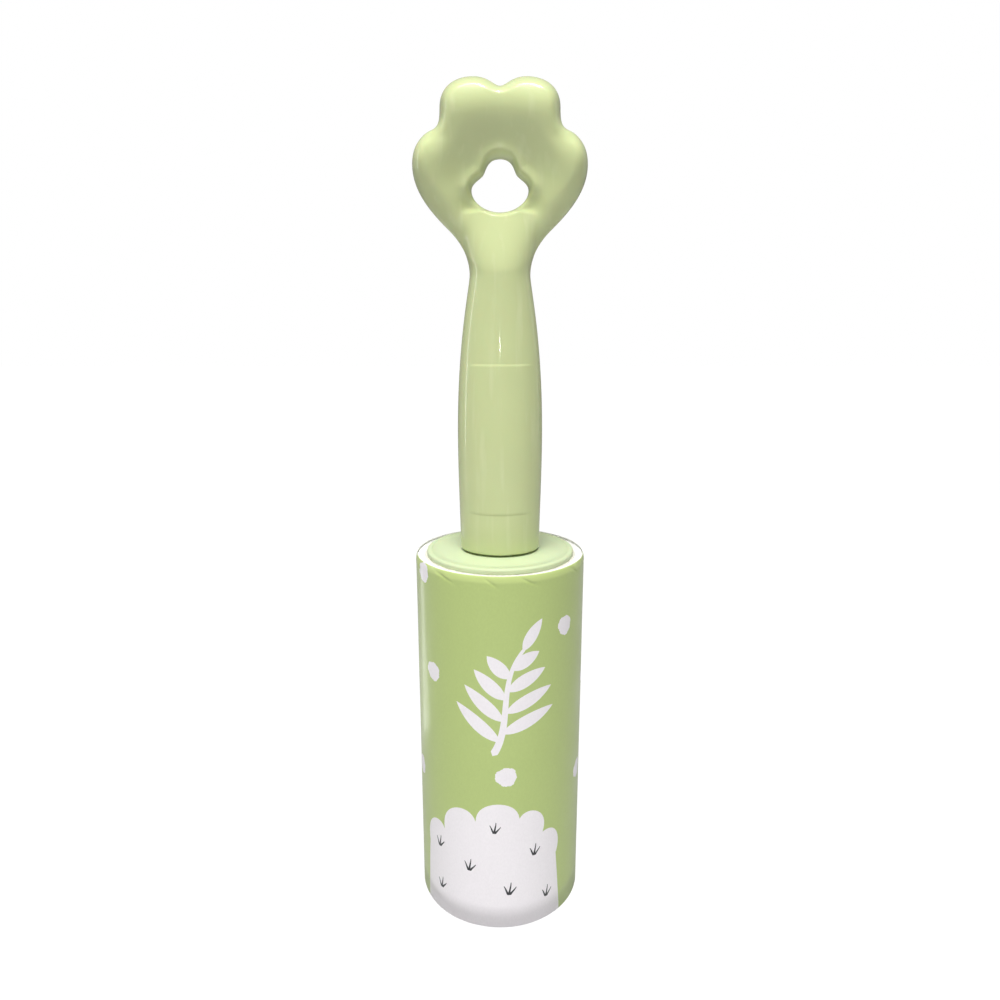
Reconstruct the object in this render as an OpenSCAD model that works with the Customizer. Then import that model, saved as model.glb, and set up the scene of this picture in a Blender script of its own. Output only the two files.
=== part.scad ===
// Lint roller with a paw-shaped handle, standing on the end of its roll.
// The axis of the roll is Z, the front faces -Y, and Z = 0 is the lower end of the roll.

/* [Roll] */
// Width of the adhesive sheets, which is the length of the roll
sheet_w = 100; // [80:1:120]
// Inner diameter of the cardboard core
core_id = 38; // [36:0.5:42]
// Wall of the cardboard core
core_wall = 1.2; // [1:0.1:1.6]
// Number of adhesive sheets on the core
sheet_count = 24; // [6:1:24]
// Thickness of one adhesive sheet
sheet_t = 0.1; // [0.08:0.01:0.12]
// Thickness of the printed wrapper
wrapper_t = 0.15; // [0.1:0.01:0.2]
// How far the wrapper stands above the ends of the sheets
wrapper_rise = 0.6; // [0.2:0.1:1.5]

/* [Drum] */
// Diameter of the flange that stops the core
flange_d = 39.5; // [38.5:0.5:44]
// Thickness of the flange
flange_t = 1.4; // [1:0.1:2]
// Gap between the ribs of the cage and the core
core_gap = 0.3; // [0.2:0.05:0.5]
// Number of long ribs on the cage
rib_count = 6; // [6:3:9]

/* [Spindle] */
// Diameter of the upper journal
journal_d = 12; // [11:0.5:12]
// Diameter of the shaft and the lower journal
shaft_d = 10; // [9:0.5:10]
// Radial running clearance of both journals
running_gap = 0.05; // [0.03:0.01:0.08]

/* [Handle] */
// Height of the handle, from its lower end to the toes
handle_h = 115.4; // [110:0.2:125]
// Height of the paw above the neck
paw_h = 45; // [44:0.2:47]
// Width over the side toes
paw_w = 42.5; // [41:0.5:44]
// Width of the neck
neck_w = 15.2; // [14.5:0.1:16]
// Greatest width of the grip
grip_w = 22.1; // [21.5:0.1:23]
// Depth of the grip, front to back
grip_depth = 19; // [18:0.2:20]
// Depth of the neck, front to back
neck_depth = 15; // [14.5:0.1:16]
// Depth of the paw at the toes, front to back
toe_depth = 17.4; // [16:0.2:18]
// Depth of the paw where it leaves the neck, front to back
plate_depth = 7.6; // [7.4:0.2:8.4]
// Wall of both shells
shell_wall = 1.8; // [1.5:0.1:2]

/* [Hidden] */
$fn = 96;

// Roll
core_r = core_id / 2;
core_out_r = core_r + core_wall;
sheets_out_r = core_out_r + sheet_count * sheet_t;
roll_r = sheets_out_r + wrapper_t;
wrapper_edge = 1.6;        // height of the drawn-in margin at the top of the wrapper
wrapper_draw = 0.1;        // how far that margin is drawn in
wrapper_top = sheet_w + wrapper_rise;

// Heights of the turning parts
end_recess = 1;            // the end cap sits this far inside the core
cap_t = 1.6;
cage_z = end_recess + cap_t + 0.1;
flange_z = sheet_w + 0.02;
flange_top = flange_z + flange_t;
hub_z = 7.3;               // lower face of the end hub
hub_h = 9;
spindle_z = 7;             // lower end of the spindle
play = 0.04;               // clearance between parts that are pressed together

// Cage
rib_r = core_r - core_gap;
tube_r = 15.5;
tube_wall = 1.5;
tube_in_r = tube_r - tube_wall;
rib_w = 1.8;
ring_t = 1.6;
finger_w = 6;
finger_t = 1.2;
finger_h = 42;
finger_z = sheet_w * 0.3;
finger_gap = 0.1;          // between a finger's bump and the core

// Bearings and pressed joints inside the cage
spigot_r = tube_in_r - play;
spigot_h = 4;
hub_r = 8;
flange_r = flange_d / 2;
flange_hub_r = 9;
flange_hub_h = 9;
rim_w = 1.3;               // low rim round the edge of the flange
rim_h = 0.2;
nib_r = 3.4;               // rounded nib at the tip of each finger

// Spindle and its fastening
journal_r = journal_d / 2;
shaft_r = shaft_d / 2;
journal_z = flange_z - flange_hub_h - 0.5;
collar_r = 7;
collar_h = 4;
spindle_top = 136;
blade_h = 6;
blade_w = 12;
blade_t = 3;
blade_z = spindle_top;
washer_gap = 0.5;          // the thrust washer holds the handle this far off the flange
thrust_r = 8.4;
screw_r = 1.5;
screw_len = 14;
screw_head_r = 3.4;
screw_head_h = 2.2;
steel_washer_t = 0.8;
steel_washer_r = 7.6;
washer_z = spindle_z - steel_washer_t;

// Handle
handle_z = flange_top + washer_gap;
neck_z = handle_z + handle_h - paw_h;
collar_z = handle_z + 2 + play;
end_wall = 2;
part_gap = 0.02;           // each half stops this far short of the parting plane
kx = paw_w / 42.5;
kz = paw_h / 45;
shell_screw_r = 1.45;
shell_screw_len = 9;
shell_head_r = 2.6;
shell_head_h = 1.9;
head_seat = 3.4;           // the screw heads bear on the rear bosses at this depth
front_boss_r = 3.2;
rear_boss_r = 3.6;
// Axes of the shell screws, as [x, z, depth of the bosses]
paw_screw = [13.6 * kx, neck_z + 28.4 * kz];
shell_screw_at = [
    [0, neck_z - 24, 7.3],
    [paw_screw[0], paw_screw[1], 5.1],
    [-paw_screw[0], paw_screw[1], 5.1]
];

// Colours
handle_green = [0.72, 0.78, 0.55];
flange_green = [0.82, 0.88, 0.70];
wrapper_green = [0.68, 0.75, 0.47];
cage_white = [0.90, 0.91, 0.88];
spindle_white = [0.93, 0.93, 0.90];
steel = [0.72, 0.73, 0.75];
card = [0.72, 0.60, 0.44];
paper = [0.97, 0.97, 0.94];

// A cubic Bezier point, and a chain of Bezier pieces drawn with n steps each
function bez(p, t) = pow(1 - t, 3) * p[0] + 3 * pow(1 - t, 2) * t * p[1]
    + 3 * (1 - t) * t * t * p[2] + pow(t, 3) * p[3];
function chain(pieces, n) = [
    for (p = pieces, k = [0 : n - 1]) bez(p, k / n)
];

// Right half of the paw's outline from the notch between the toes down to the neck,
// as [x, height above the neck]
side_toe = [21.25 * kx, 25.2 * kz];
paw_pieces = [
    [[0, 42.7 * kz], [1.3 * kx, 42.7 * kz], [2.7 * kx, 45 * kz], [6.3 * kx, 45 * kz]],
    [[6.3 * kx, 45 * kz], [10.6 * kx, 45 * kz], [14.4 * kx, 42.4 * kz], [14.4 * kx, 38 * kz]],
    [[14.4 * kx, 38 * kz], [14.45 * kx, 35 * kz], [14.7 * kx, 33.6 * kz], [16.5 * kx, 33 * kz]],
    [[16.5 * kx, 33 * kz], [19.2 * kx, 32 * kz], [21.25 * kx, 29.2 * kz], side_toe],
    [side_toe, [21.25 * kx, 19.6 * kz], [17.2 * kx, 14.9 * kz], [12.9 * kx, 10.8 * kz]],
    [[12.9 * kx, 10.8 * kz], [9.4 * kx, 7.5 * kz], [neck_w / 2, 3.8 * kz], [neck_w / 2, 0]]
];
// Right half of the hanging hole, from its lowest point to its top
hole_pieces = [
    [[0, 14.7 * kz], [3.4 * kx, 14.7 * kz], [6.95 * kx, 17 * kz], [6.95 * kx, 19.8 * kz]],
    [[6.95 * kx, 19.8 * kz], [6.95 * kx, 21.6 * kz], [4.9 * kx, 22.3 * kz], [4.1 * kx, 23.3 * kz]],
    [[4.1 * kx, 23.3 * kz], [3.3 * kx, 24.3 * kz], [3.2 * kx, 27.1 * kz], [0, 27.1 * kz]]
];
hole_mid = [0, 20 * kz];
// Right edge of the grip, from the neck to the lower end
grip_end = -(handle_h - paw_h);
grip_pieces = [
    [[neck_w / 2, 0], [neck_w / 2, -3], [grip_w / 2, -16], [grip_w / 2, -42]],
    [[grip_w / 2, -42], [grip_w / 2, -52], [grip_w / 2 - 0.4, -62], [grip_w / 2 - 0.5, grip_end]]
];

fine = 5;                  // steps in each Bezier piece of the outline
outline = concat(chain(paw_pieces, fine), chain(grip_pieces, fine));
hole_line = concat(chain(hole_pieces, fine), [[0, 27.1 * kz]]);

function clamp(v, lo, hi) = min(max(v, lo), hi);
function smooth(v) = let (c = clamp(v, 0, 1)) c * c * (3 - 2 * c);
function seg_dist(p, a, b) = let (
    ab = b - a,
    t = clamp(((p - a) * ab) / (ab * ab), 0, 1)
) norm(p - a - t * ab);
function line_dist(p, line) = min([
    for (i = [0 : len(line) - 2]) seg_dist([abs(p[0]), p[1]], line[i], line[i + 1])
]);
function edge_round(d, r) = let (u = clamp(d / r, 0, 1)) sqrt(max(0, 1 - (1 - u) * (1 - u)));
function bump(p, mid, r) = exp(-pow(norm([abs(p[0]), p[1]] - mid) / r, 2));

// Half depth of the grip at a height at or below the neck
function spine(z) = neck_depth / 2 + (grip_depth - neck_depth) / 2 * smooth(-z / 48);

// Half depth of the paw: thick at the toes, dished round a soft lip at the hanging hole,
// with a pocket at each lower corner of the hole
dish_depth = 3.1;
dish_more = 1.5;           // extra depth of the dish above the hole
dish_r = 8.2;
dish_mid = [0, 20.6 * kz];
toe_pad = 0.4;
lip_h = 0.75;
pocket_depth = 1.4;
function paw_plate(p, dh) = let (
    plate = plate_depth / 2 + (toe_depth - plate_depth) / 2 * smooth((p[1] - 1) / 35),
    toes = bump(p, [7.5 * kx, 38.5 * kz], 5.5) + bump(p, [16 * kx, 27.5 * kz], 5),
    reach = max(0, norm(p - dish_mid) - 6.2),
    dish = (dish_depth + dish_more * smooth((p[1] - 16 * kz) / 10)) * exp(-pow(reach / dish_r, 2)),
    lip = exp(-pow((dh - 1) / 1.5, 2)) * smooth((p[1] - 17 * kz) / 4),
    pocket = pocket_depth * bump(p, [7.6 * kx, 16.2 * kz], 2.4)
) plate + toe_pad * toes - dish + lip_h * lip - pocket;

// Share of the depth that is left where the toes roll over towards their tops
roll_over = 13;
function toe_roll(p, inset) = let (
    side = smooth((abs(p[0]) - 6) / 11) * smooth((38 * kz - p[1]) / 8),
    u = clamp((46 * kz - 11.5 * side - inset - p[1]) / (roll_over - inset), 0.02, 1)
) sqrt(1 - pow(1 - u, 2));

// Half depth of the neck's round bar, which thins as it runs up under the paw
bar_drop = 3.8;
bar_top = 14.6;
function neck_bar(p, inset) = let (
    t = p[1] / 15,
    depth = neck_depth / 2 - inset - bar_drop * 1.25 * t * t / (t + 0.25),
    power = 2 + 0.4 * smooth(p[1] / 14),
    u = clamp(abs(p[0]) / (neck_w / 2 + 0.18 * p[1] - inset), 0, 1),
    soft = smooth((abs(p[0]) - 4) / 4),
    end = smooth((p[1] - bar_top * kz + inset + 0.6 * soft) / (1.2 + soft))
) depth * pow(1 - pow(u, power), 1 / power) * (1 - end);

// The paw and the bar joined by a soft valley, with the edge and the hole rounded
hole_round = 1.5;
valley = 1;
edge_r = 3.4;              // rounding of the paw's edge away from the neck
thinnest = 0.3;            // least half depth of the hollow inside
function half_depth(p, inset) = let (
    d = line_dist(p, outline) - inset,
    dh = line_dist(p, hole_line),
    edge = edge_round(d, neck_w / 2 + (edge_r - neck_w / 2) * smooth((p[1] - 6) / 24) - inset),
    plate = edge * toe_roll(p, inset) * max(paw_plate(p, dh) - inset, thinnest),
    bar = min(neck_bar(p, inset), edge * (neck_depth / 2 - inset)),
    soft = valley * edge + 0.000001,
    share = clamp(0.5 + (plate - bar) / (2 * soft), 0, 1),
    joined = plate * share + bar * (1 - share) + soft * share * (1 - share)
) edge_round(dh - inset, hole_round) * joined;

// Points of the outline moved inwards by inset, and of the hole moved outwards
function turn(v) = [v[1], -v[0]] / norm(v);
function moved(line, i, inset) = let (
    last = len(line) - 1,
    v = line[i][0] != 0 ? line[min(i + 1, last)] - line[i - 1] : i == 0 ? [1, 0] : [-1, 0]
) line[i] + inset * turn(v);

across = 8;                // steps across half of the grip
rings = 13;                // steps from the hole to the outline

// Low thumb panel on the front of the grip
panel_top = -21.5;
panel_bottom = -60;
panel_w = 17;
panel_rise = 0.16;
function rise(x, z, inset) = inset > 0 ? 0 : panel_rise
    * smooth((panel_top - z) / 0.7) * smooth((z - panel_bottom) / 0.7)
    * smooth((panel_w / 2 - abs(x)) / 2.5);

// One row across the grip, from the right edge to the left, as [x, half depth, z]
row_t = concat(
    [0.1, 0.2, 0.28, 0.345, 0.352, 0.43, 0.5, 0.56, 0.64, 0.72, 0.8, 0.812, 0.9, 1]
);
rows = len(row_t);
function grip_row(t, inset) = let (
    k = min(floor(t * 2), 1),
    g = bez(grip_pieces[k], t * 2 - k),
    a = g[0] - inset,
    b = spine(g[1]) - inset
) [for (l = [0 : 2 * across]) let (f = 90 - 90 * l / across) [a * sin(f), b * cos(f), g[1]]];

// The closed body of the handle drawn in by inset, with z measured from the neck
module handle_body(inset) {
    paw = concat(chain(paw_pieces, fine), [[neck_w / 2, 0]]);
    right = [for (i = [0 : len(paw) - 2]) moved(paw, i, inset)];
    cut = grip_row(0, inset);
    left = [for (i = [len(right) - 1 : -1 : 1]) [-right[i][0], right[i][1]]];
    rim = concat(right, [for (c = cut) [c[0], c[2]]], left);
    count = len(rim);
    cut_from = len(right);
    hole = [for (i = [0 : len(hole_line) - 1]) moved(hole_line, i, inset)];
    polar = [for (p = hole) [atan2(p[1] - hole_mid[1], p[0]), norm(p - hole_mid)]];
    // Each point of the rim pairs with the point of the hole at the same angle
    inner = [for (p = rim) let (
        a = atan2(p[1] - hole_mid[1], abs(p[0])),
        r = lookup(a, polar)
    ) hole_mid + r * [sign(p[0]) * cos(a), sin(a)]];
    function on_cut(j) = j > cut_from && j < cut_from + 2 * across;
    function paw_point(i, j, side) = let (
        s = (1 - cos(180 * i / rings)) / 2,
        p = inner[j] + s * (rim[j] - inner[j]),
        y = i == 0 ? 0 : i == rings ? (on_cut(j) ? cut[j - cut_from][1] : 0) : half_depth(p, inset)
    ) [p[0], side * y, p[1]];
    grip = [for (t = row_t) grip_row(t, inset)];
    per_side = (rings + 1) * count + rows * (2 * across + 1);
    points = [
        for (side = [-1, 1]) each concat(
            [for (i = [0 : rings], j = [0 : count - 1]) paw_point(i, j, side)],
            [for (k = [0 : rows - 1], q = grip[k]) [
                q[0],
                side * q[1] - (side < 0 ? rise(q[0], q[2], inset) : 0),
                q[2]
            ]]
        )
    ];
    function at(side, i, j) = side * per_side + i * count + j % count;
    function at_grip(side, k, l) = k == 0
        ? at(side, rings, cut_from + l)
        : side * per_side + (rings + 1) * count + (k - 1) * (2 * across + 1) + l;
    function quad(a, b, c, d, side) = side == 0 ? [[a, b, c], [a, c, d]] : [[c, b, a], [d, c, a]];
    end_face = concat(
        [for (l = [0 : 2 * across]) at_grip(0, rows, l)],
        [for (l = [2 * across - 1 : -1 : 1]) at_grip(1, rows, l)]
    );
    faces = concat(
        [for (side = [0, 1], i = [0 : rings - 1], j = [0 : count - 1])
            each quad(at(side, i, j), at(side, i + 1, j), at(side, i + 1, j + 1), at(side, i, j + 1), side)],
        [for (side = [0, 1], k = [0 : rows - 1], l = [0 : 2 * across - 1])
            each quad(at_grip(side, k, l), at_grip(side, k + 1, l), at_grip(side, k + 1, l + 1),
                at_grip(side, k, l + 1), side)],
        [[for (l = [len(end_face) - 1 : -1 : 0]) end_face[l]]]
    );
    polyhedron(points, faces);
}

// Saddles that grip the spindle, a slotted plate for its blade, as [z, thickness]
saddle_z = [116, 127];
saddle_t = 1.8;
module saddle_plates() {
    for (z = concat(saddle_z, [blade_z + blade_h / 2])) {
        translate([-20, -20, z - saddle_t / 2 - neck_z]) cube([40, 40, saddle_t]);
    }
}

// One hollow half of the handle. resize() with zeros keeps the size.
module half_shell(side) {
    translate([0, 0, neck_z]) resize([0, 0, 0]) difference() {
        handle_body(0);
        difference() {
            handle_body(shell_wall);
            translate([-50, -50, grip_end - 10]) cube([100, 100, 10 + end_wall]);
            saddle_plates();
        }
        translate([-50, side < 0 ? -part_gap : part_gap - 60, grip_end - 10]) cube([100, 60, 200]);
    }
}

// Room for the spindle in the end wall, the saddles and the slotted plate
module spindle_room() {
    translate([0, 0, handle_z - 1]) cylinder(r = journal_r + play, h = end_wall + 1.5);
    translate([0, 0, saddle_z[0] - 4]) cylinder(r = shaft_r + play, h = saddle_z[1] - saddle_z[0] + 8);
    translate([-blade_w / 2 - play, -blade_t / 2 - play, blade_z - 1]) {
        cube([blade_w + 2 * play, blade_t + 2 * play, blade_h + 2]);
    }
}

module boss(screw, r, side) {
    translate([screw[0], side * part_gap, screw[1]]) rotate([-90 * side, 0, 0]) {
        cylinder(r = r, h = screw[2] - part_gap);
    }
}

module handle_front_shell() {
    color(handle_green) difference() {
        union() {
            half_shell(-1);
            for (s = shell_screw_at) boss(s, front_boss_r, -1);
        }
        spindle_room();
        for (s = shell_screw_at) {
            translate([s[0], 1, s[1]]) rotate([90, 0, 0]) cylinder(r = shell_screw_r + play, h = 7);
        }
    }
}

module handle_rear_shell() {
    color(handle_green) difference() {
        union() {
            half_shell(1);
            for (s = shell_screw_at) boss(s, rear_boss_r, 1);
        }
        spindle_room();
        for (s = shell_screw_at) {
            translate([s[0], -1, s[1]]) rotate([-90, 0, 0]) cylinder(r = shell_screw_r + 0.2, h = 10);
            translate([s[0], head_seat, s[1]]) rotate([-90, 0, 0]) {
                cylinder(r = shell_head_r + 0.2, h = 10);
            }
        }
    }
}

module cross_recess(depth) {
    for (a = [0, 90]) {
        rotate([0, 0, a]) translate([-1.6, -0.35, -1]) cube([3.2, 0.7, depth + 1]);
    }
}

module shell_screws() {
    color(steel) for (s = shell_screw_at) {
        translate([s[0], head_seat + shell_head_h, s[1]]) rotate([90, 0, 0]) difference() {
            union() {
                cylinder(r = shell_head_r, h = shell_head_h - play);
                cylinder(r = shell_screw_r, h = shell_screw_len + shell_head_h);
            }
            cross_recess(1.1);
        }
    }
}

module spindle() {
    color(spindle_white) difference() {
        union() {
            translate([0, 0, spindle_z]) cylinder(r = shaft_r, h = spindle_top - spindle_z);
            translate([0, 0, journal_z]) cylinder(r = journal_r, h = collar_z - journal_z + 1);
            translate([0, 0, collar_z]) cylinder(r = collar_r, h = collar_h);
            translate([-blade_w / 2, -blade_t / 2, spindle_top - 1]) cube([blade_w, blade_t, blade_h + 1]);
        }
        translate([0, 0, spindle_z - 1]) cylinder(r = screw_r + play, h = screw_len + 1);
    }
}

module ring(z, inner_r, outer_r, h) {
    translate([0, 0, z]) difference() {
        cylinder(r = outer_r, h = h);
        translate([0, 0, -1]) cylinder(r = inner_r, h = h + 2);
    }
}

module thrust_washer() {
    color(spindle_white) {
        ring(flange_top + 0.05, journal_r + play, thrust_r, washer_gap - 0.1);
    }
}

module retaining_washer() {
    color(steel) ring(washer_z, screw_r + 0.1, steel_washer_r, steel_washer_t - play);
}

module retaining_screw() {
    color(steel) translate([0, 0, washer_z - play - screw_head_h]) difference() {
        union() {
            cylinder(r = screw_head_r, h = screw_head_h);
            cylinder(r = screw_r, h = screw_head_h + screw_len - 3);
        }
        cross_recess(1.1);
    }
}

// Round plate with a low rim, a hub with the upper bearing, and a spigot for the cage
module drum_flange() {
    color(flange_green) rotate_extrude() polygon([
        [journal_r + running_gap, flange_z - flange_hub_h],
        [flange_hub_r, flange_z - flange_hub_h],
        [flange_hub_r, flange_z],
        [spigot_r - tube_wall, flange_z],
        [spigot_r - tube_wall, flange_z - spigot_h],
        [spigot_r, flange_z - spigot_h],
        [spigot_r, flange_z],
        [flange_r, flange_z],
        [flange_r, flange_top - 0.35],
        [flange_r - 0.3, flange_top],
        [flange_r - rim_w, flange_top],
        [flange_r - rim_w - 0.15, flange_top - rim_h],
        [flange_hub_r, flange_top - rim_h],
        [flange_hub_r - 0.15, flange_top],
        [journal_r + running_gap, flange_top]
    ]);
}

module cage_finger() {
    translate([tube_in_r + 0.1, -finger_w / 2, finger_z - 2]) cube([finger_t, finger_w, finger_h]);
    translate([core_r - finger_gap - nib_r, 1.5, finger_z + finger_h - 6]) {
        rotate([90, 0, 0]) cylinder(r = nib_r, h = 3);
    }
}

module drum_cage() {
    top = flange_z - play;
    color(cage_white) {
        difference() {
            union() {
                ring(cage_z, tube_in_r, tube_r, top - cage_z);
                for (z = [cage_z, finger_z - 7, finger_z + finger_h + 5, top - ring_t]) {
                    ring(z, tube_r - 0.4, rib_r, ring_t);
                }
                for (i = [0 : rib_count - 1]) rotate([0, 0, i * 360 / rib_count]) {
                    translate([tube_r - 0.4, -rib_w / 2, cage_z]) {
                        cube([rib_r - tube_r + 0.35, rib_w, top - cage_z]);
                    }
                }
            }
            for (i = [0 : 2]) rotate([0, 0, i * 120 + 30]) {
                translate([tube_in_r - 2, -finger_w / 2 - 1, finger_z]) {
                    cube([6, finger_w + 2, finger_h + 1]);
                }
            }
        }
        for (i = [0 : 2]) rotate([0, 0, i * 120 + 30]) cage_finger();
    }
}

module drum_hub() {
    color(cage_white) {
        ring(hub_z, shaft_r + running_gap, hub_r, hub_h);
        ring(hub_z, hub_r - 0.5, spigot_r, 1.8);
        ring(hub_z, spigot_r - 1.4, spigot_r, 5);
    }
}

// Plate that closes the lower end, with a shallow dish and three finger notches
module end_cap() {
    color(flange_green) difference() {
        union() {
            translate([0, 0, end_recess]) cylinder(r = rib_r - 0.1, h = cap_t);
            ring(end_recess + cap_t - 0.2, spigot_r - tube_wall, spigot_r, 3);
        }
        translate([0, 0, end_recess - 1]) cylinder(r = 10, h = 1.5);
        for (a = [90, 210, 330]) rotate([0, 0, a]) {
            translate([14.4, 0, end_recess - 1]) cylinder(r = 2, h = 1.8);
        }
    }
}

module core_tube() {
    color(card) ring(0, core_r, core_out_r, sheet_w);
}

// The wound sheets, with the upper edge pressed in by the wrapper
module sheet_roll() {
    color(paper) rotate_extrude() polygon([
        [core_out_r + 0.02, 0],
        [sheets_out_r - 0.02, 0],
        [sheets_out_r - 0.02, sheet_w - wrapper_edge],
        [sheets_out_r - 0.02 - wrapper_draw, sheet_w],
        [core_out_r + 0.02, sheet_w]
    ]);
}

module printed_wrapper() {
    color(wrapper_green) rotate_extrude() polygon([
        [sheets_out_r, 0],
        [roll_r, 0],
        [roll_r, sheet_w - wrapper_edge],
        [roll_r - wrapper_draw, sheet_w],
        [roll_r - 2 * wrapper_draw, wrapper_top],
        [sheets_out_r - 2 * wrapper_draw, wrapper_top],
        [sheets_out_r - wrapper_draw, sheet_w],
        [sheets_out_r, sheet_w - wrapper_edge]
    ]);
}

handle_front_shell();
handle_rear_shell();
shell_screws();
spindle();
thrust_washer();
retaining_washer();
retaining_screw();
drum_flange();
drum_cage();
drum_hub();
end_cap();
core_tube();
sheet_roll();
printed_wrapper();
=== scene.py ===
"""Lint roller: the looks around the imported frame. Lengths in the shape code are millimetres."""

import math

import bmesh
import bpy
import numpy as np
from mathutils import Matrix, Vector
from mathutils.geometry import delaunay_2d_cdt


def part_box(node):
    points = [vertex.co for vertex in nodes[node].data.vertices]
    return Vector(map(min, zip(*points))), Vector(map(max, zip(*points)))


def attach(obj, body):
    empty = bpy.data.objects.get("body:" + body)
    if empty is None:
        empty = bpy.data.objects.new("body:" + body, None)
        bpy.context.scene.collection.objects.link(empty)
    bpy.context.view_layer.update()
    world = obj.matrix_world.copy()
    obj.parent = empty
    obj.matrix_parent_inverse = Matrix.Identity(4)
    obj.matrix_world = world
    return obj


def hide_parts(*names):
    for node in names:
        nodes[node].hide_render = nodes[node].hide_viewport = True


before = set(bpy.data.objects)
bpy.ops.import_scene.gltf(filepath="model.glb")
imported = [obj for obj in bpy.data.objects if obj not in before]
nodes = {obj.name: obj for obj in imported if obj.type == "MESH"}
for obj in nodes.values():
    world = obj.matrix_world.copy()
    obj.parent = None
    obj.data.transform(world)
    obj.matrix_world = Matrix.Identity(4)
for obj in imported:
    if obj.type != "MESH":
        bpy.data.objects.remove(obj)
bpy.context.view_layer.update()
scene = bpy.context.scene
MM = 0.001
SHARP = math.radians(40)  # faces that meet at more than this have a crisp edge between them


def box_mm(node):
    """Lowest and highest corner of a CAD node, in millimetres."""
    low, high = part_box(node)
    return low / MM, high / MM


# ---------------------------------------------------------------- camera, light, floor

CAMERA_AT = (0, -0.19364, 0.15936)
CAMERA_DOWN = 13.038  # degrees below the horizon
CAMERA_LENS = 26.7
FILL = 0.29  # strength of the white surroundings
KEY = 12.5  # watts of the large light in front
BAR = 1.8  # watts of the bars above, which draw the sheen on the toes
STRIP = 0.8  # watts of the strips beside the roller, which draw the sheen along its edges
SPECK = 0.03  # watts of the two small lights
FLOOR_GLOW = 0.93  # share of the floor's own white that the camera sees
FLOOR_WHITE = 1.08  # strength of that white


def make_camera():
    data = bpy.data.cameras.new("camera")
    data.lens = CAMERA_LENS
    data.sensor_width = 36
    data.clip_start = 0.01
    camera = bpy.data.objects.new("camera", data)
    camera.location = CAMERA_AT
    camera.rotation_euler = (math.radians(90 - CAMERA_DOWN), 0, 0)
    scene.collection.objects.link(camera)
    scene.camera = camera


def area_light(name, at, aim, width, height, watts, glossy=True, diffuse=True):
    data = bpy.data.lights.new(name, "AREA")
    data.shape = "RECTANGLE"
    data.size = width
    data.size_y = height
    data.energy = watts
    light = bpy.data.objects.new(name, data)
    light.location = at
    light.visible_camera = False
    light.visible_glossy = glossy
    light.visible_diffuse = diffuse
    light.rotation_euler = (Vector(aim) - Vector(at)).to_track_quat("-Z", "Y").to_euler()
    scene.collection.objects.link(light)


def make_studio():
    scene.view_settings.view_transform = "Standard"
    world = bpy.data.worlds.new("studio")
    world.use_nodes = True
    tree = world.node_tree
    fill = tree.nodes["Background"]
    fill.inputs["Color"].default_value = (1, 1, 1, 1)
    fill.inputs["Strength"].default_value = FILL
    seen = tree.nodes.new("ShaderNodeBackground")
    seen.inputs["Color"].default_value = (1, 1, 1, 1)
    path = tree.nodes.new("ShaderNodeLightPath")
    mix = tree.nodes.new("ShaderNodeMixShader")
    tree.links.new(path.outputs["Is Camera Ray"], mix.inputs["Fac"])
    tree.links.new(fill.outputs[0], mix.inputs[1])
    tree.links.new(seen.outputs[0], mix.inputs[2])
    tree.links.new(mix.outputs[0], tree.nodes["World Output"].inputs["Surface"])
    scene.world = world
    area_light("key", (-0.06, -0.34, 0.98), (0, 0, 0.12), 0.6, 0.5, KEY, glossy=False)
    area_light("bar_right", (0.045, -0.1, 0.8), (0, 0, 0.2), 0.07, 0.17, BAR / 2, diffuse=False)
    area_light("bar_left", (-0.05, -0.1, 0.8), (0, 0, 0.2), 0.07, 0.15, BAR / 8, diffuse=False)
    area_light("left_strip", (-0.85, 0.12, 0.3), (0, 0, 0.1), 0.05, 0.7, STRIP, diffuse=False)
    area_light("right_strip", (0.75, 0.4, 0.3), (0, 0, 0.1), 0.05, 0.7, STRIP / 4, diffuse=False)
    area_light("dot", (0.0, -0.55, 0.205), (0, 0, 0.15), 0.01, 0.01, SPECK, diffuse=False)
    floor_strip, above_it = (-0.169, 0.124, 0.012), (-0.162, 0.117, 0.2)
    area_light("floor_strip", floor_strip, above_it, 0.04, 0.24, STRIP / 16, diffuse=False)
    area_light("low_fill", (0, -0.16, 0.01), (0, 0, 0.03), 0.16, 0.03, SPECK, glossy=False)

    bpy.ops.mesh.primitive_plane_add(size=6, location=(0, 0, 0))
    floor = bpy.context.object
    floor.name = "floor"
    paper = Shader("floor_paper", (0.56, 0.56, 0.555), 0.8)
    glow = paper.node("ShaderNodeEmission", Strength=FLOOR_WHITE)
    path = paper.node("ShaderNodeLightPath")
    share = paper.node("ShaderNodeMath", operation="MULTIPLY")
    share.inputs[1].default_value = FLOOR_GLOW
    mix = paper.node("ShaderNodeMixShader")
    paper.link(path.outputs["Is Camera Ray"], share.inputs[0])
    paper.link(share.outputs[0], mix.inputs["Fac"])
    paper.link(paper.bsdf.outputs[0], mix.inputs[1])
    paper.link(glow.outputs[0], mix.inputs[2])
    paper.link(mix.outputs[0], paper.tree.nodes["Material Output"].inputs["Surface"])
    floor.data.materials.append(paper.material)


# ---------------------------------------------------------------- materials

HANDLE_GREEN = (0.57, 0.635, 0.32)
FLANGE_GREEN = (0.59, 0.68, 0.42)
WRAPPER_GREEN = (0.455, 0.565, 0.195)
# painted light: the lighter green painted on the wrapper's top margin, standing for light on the up-turned
# fold
FOLD_PAINTED_LIGHT = (0.53, 0.64, 0.235)
WRAPPER_FOLD = 98.6  # painted light: the wrapper's drawn-in margin is painted a little lighter above this height, where it turns up over the edge towards the light
PRINT_WHITE = (0.885, 0.85, 0.88)
PRINT_BLACK = (0.02, 0.02, 0.024)
CAGE_WHITE = (0.80, 0.82, 0.76)
SPINDLE_WHITE = (0.86, 0.86, 0.82)
WASHER_WHITE = (0.86, 0.86, 0.80)
PAPER_WHITE = (0.9, 0.9, 0.86)
CLOUDS, RIPPLES, SCUFFS = 45, 120, 2500  # noise scales per metre, in every moulded plastic

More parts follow.
